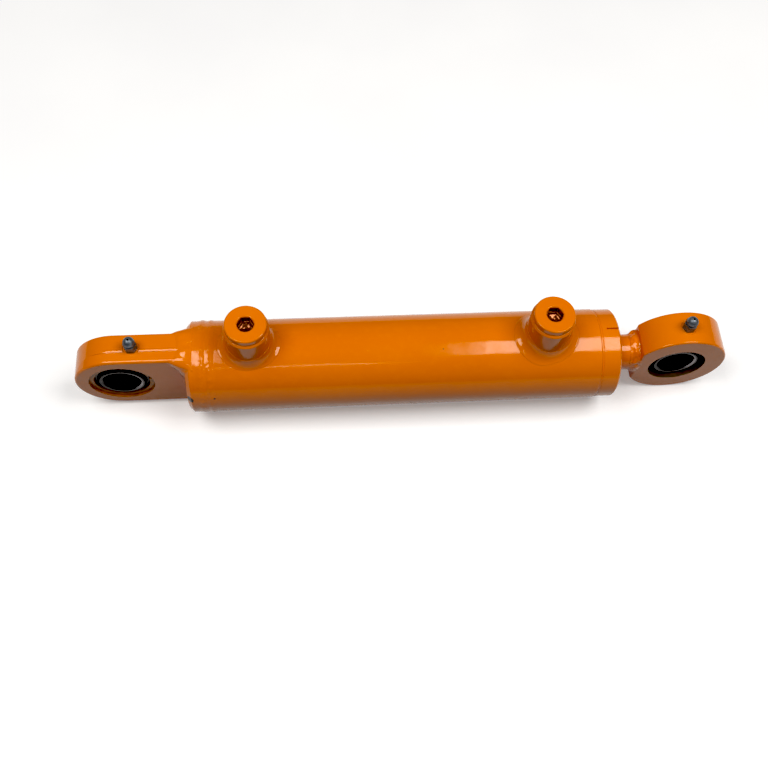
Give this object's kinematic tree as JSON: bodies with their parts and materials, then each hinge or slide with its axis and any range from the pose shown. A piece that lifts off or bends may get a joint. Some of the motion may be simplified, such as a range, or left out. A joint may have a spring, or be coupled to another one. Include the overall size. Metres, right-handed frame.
{
  "type": "hydraulic cylinder",
  "caption": "Double-acting welded hydraulic cylinder with a swivel bearing in the eye at each end, plugged oil ports and a sliding rod.",
  "frame": {"origin": "centre of the cap-end pin bore", "axes": "+X along the cylinder from the cap-end pin to the rod-end pin, +Y along the pins, +Z towards the oil ports"},
  "size_m": [0.3618, 0.0506, 0.0734],
  "materials": {
    "orange_paint": "gloss orange enamel over steel",
    "chromed_rod": "polished hard chrome, with orange enamel on the neck outside the gland",
    "bearing_steel": "phosphated bearing steel with worn bright edges",
    "zinc_steel": "zinc plated, blue passivated",
    "machined_steel": "turned",
    "black_rubber": "moulded nitrile",
    "seal_polyurethane": "moulded polyurethane",
    "guide_resin": "fabric filled resin",
    "white_plastic": "PTFE"
  },
  "bodies": {
    "barrel": {"barrel_tube": "orange_paint", "end_cap": "orange_paint", "cap_weld": "orange_paint", "cap_eye": "orange_paint", "cap_eye_weld": "orange_paint", "base_port_boss": "orange_paint", "rod_port_boss": "orange_paint", "base_port_weld": "orange_paint", "rod_port_weld": "orange_paint", "base_port_plug": "orange_paint", "rod_port_plug": "orange_paint", "base_plug_seal": "black_rubber", "rod_plug_seal": "black_rubber", "gland": "orange_paint", "gland_o_ring": "black_rubber", "gland_backup_ring": "white_plastic", "rod_guide_ring": "guide_resin", "rod_seal": "seal_polyurethane", "rod_wiper": "seal_polyurethane", "cap_bearing_race": "bearing_steel", "cap_circlip": "orange_paint", "cap_grease_nipple": "zinc_steel"},
    "piston_rings": {"piston_seal": "guide_resin", "piston_seal_energiser": "black_rubber", "piston_guide_ring_rear": "guide_resin", "piston_guide_ring_front": "guide_resin"},
    "rod": {"piston_rod": "chromed_rod", "piston": "machined_steel", "piston_bore_seal": "black_rubber", "stop_sleeve": "machined_steel", "piston_nut": "machined_steel", "rod_eye": "orange_paint", "rod_eye_weld": "orange_paint", "rod_bearing_race": "bearing_steel", "rod_circlip": "orange_paint", "rod_grease_nipple": "zinc_steel"},
    "cap_ball": {"cap_bearing_ball": "bearing_steel"},
    "rod_ball": {"rod_bearing_ball": "bearing_steel"}
  },
  "joints": [
    {"name": "rod_slide", "type": "slide", "parent": "barrel", "child": "piston_rings", "axis": [1, 0, 0], "range_m": [0, 0.125]},
    {"name": "rod_turn", "type": "hinge", "parent": "piston_rings", "child": "rod", "pos_m": [0.2, 0, 0], "axis": [1, 0, 0], "continuous": true},
    {"name": "cap_ball_tilt", "type": "hinge", "parent": "barrel", "child": "cap_ball", "pos_m": [0, 0, 0], "axis": [0, 0, 1], "range_deg": [-9, 9]},
    {"name": "rod_ball_tilt", "type": "hinge", "parent": "rod", "child": "rod_ball", "pos_m": [0.31, 0, 0], "axis": [0, 0, 1], "range_deg": [-9, 9]}
  ]
}
